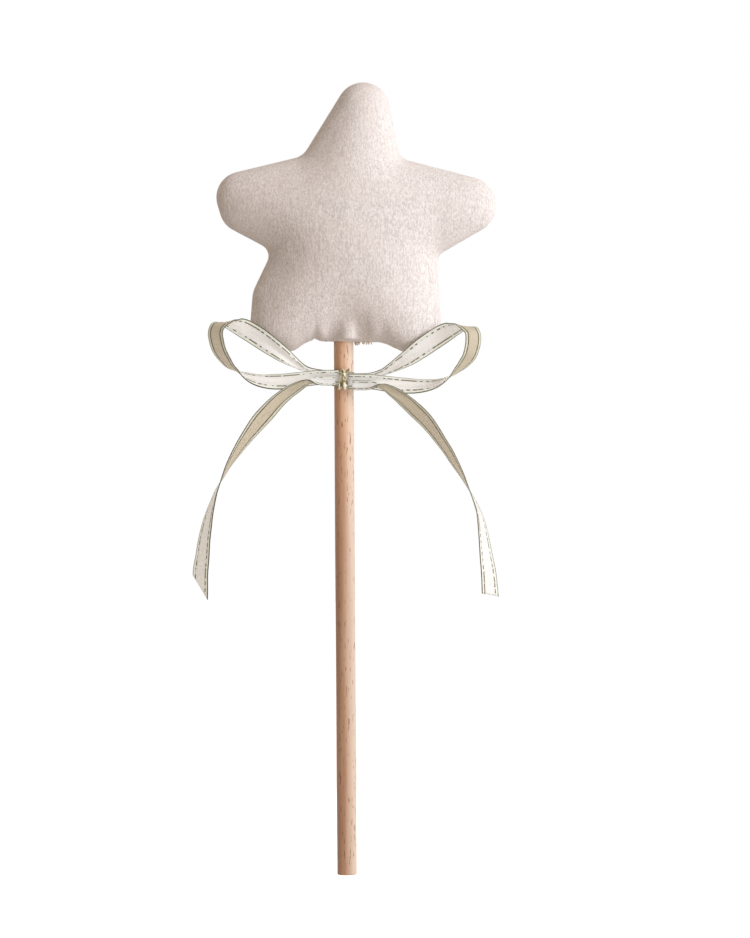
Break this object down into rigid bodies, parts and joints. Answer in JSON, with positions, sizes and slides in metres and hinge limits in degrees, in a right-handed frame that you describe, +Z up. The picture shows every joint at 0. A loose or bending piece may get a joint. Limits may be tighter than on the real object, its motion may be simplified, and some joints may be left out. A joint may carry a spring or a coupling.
{
  "type": "star wand rattle",
  "caption": "Hand-held baby rattle: a stuffed fabric star with a sealed capsule of loose pellets inside, on a plain wooden dowel tied with a ribbon bow.",
  "frame": {"origin": "centre of the flat lower end of the dowel", "axes": "+Z up the dowel towards the star, +X to the right seen from the front, -Y out of the star's front face"},
  "size_m": [0.1242, 0.0411, 0.3215],
  "materials": {
    "beech": "satin",
    "linen": "matte",
    "fibrefill": "matte",
    "thread": "matte",
    "glue": "satin",
    "capsule": "satin",
    "pellet": "gloss",
    "ribbon": "satin"
  },
  "bodies": {
    "wand": {"dowel": "beech", "star_front_panel": "linen", "star_back_panel": "linen", "stuffing_front": "fibrefill", "stuffing_back": "fibrefill", "seam_needle_thread": "thread", "seam_bobbin_thread": "thread", "closing_thread": "thread", "neck_glue": "glue", "rattle_lid": "capsule", "rattle_cup": "capsule", "ribbon_wrap": "ribbon", "ribbon_knot": "ribbon", "ribbon_loop_left": "ribbon", "ribbon_loop_right": "ribbon"},
    "pellet_1": {"rattle_pellet_1": "pellet"},
    "pellet_2": {"rattle_pellet_2": "pellet"},
    "pellet_3": {"rattle_pellet_3": "pellet"},
    "pellet_4": {"rattle_pellet_4": "pellet"},
    "pellet_5": {"rattle_pellet_5": "pellet"},
    "pellet_6": {"rattle_pellet_6": "pellet"},
    "tail_left": {"ribbon_tail_left": "ribbon"},
    "tail_right": {"ribbon_tail_right": "ribbon"}
  },
  "joints": [
    {"name": "pellet_1_rattle", "type": "slide", "parent": "wand", "child": "pellet_1", "axis": [0, 0, 1], "range_m": [0, 0.01546]},
    {"name": "pellet_2_rattle", "type": "slide", "parent": "wand", "child": "pellet_2", "axis": [0, 0, 1], "range_m": [0, 0.0182]},
    {"name": "pellet_3_rattle", "type": "slide", "parent": "wand", "child": "pellet_3", "axis": [0, 0, 1], "range_m": [0, 0.01546]},
    {"name": "pellet_4_rattle", "type": "slide", "parent": "wand", "child": "pellet_4", "axis": [0, 0, 1], "range_m": [0, 0.01546]},
    {"name": "pellet_5_rattle", "type": "slide", "parent": "wand", "child": "pellet_5", "axis": [0, 0, 1], "range_m": [0, 0.0182]},
    {"name": "pellet_6_rattle", "type": "slide", "parent": "wand", "child": "pellet_6", "axis": [0, 0, 1], "range_m": [0, 0.01546]},
    {"name": "tail_left_swing", "type": "hinge", "parent": "wand", "child": "tail_left", "pos_m": [-0.0034, -0.0078, 0.2004], "axis": [0, 1, 0], "range_deg": [-30, 12], "stiffness_Nm_per_rad": 0.00015, "springref_deg": 8.77},
    {"name": "tail_right_swing", "type": "hinge", "parent": "wand", "child": "tail_right", "pos_m": [0.0034, -0.0078, 0.1985], "axis": [0, -1, 0], "range_deg": [-30, 12], "stiffness_Nm_per_rad": 0.00015, "springref_deg": 8.94}
  ]
}
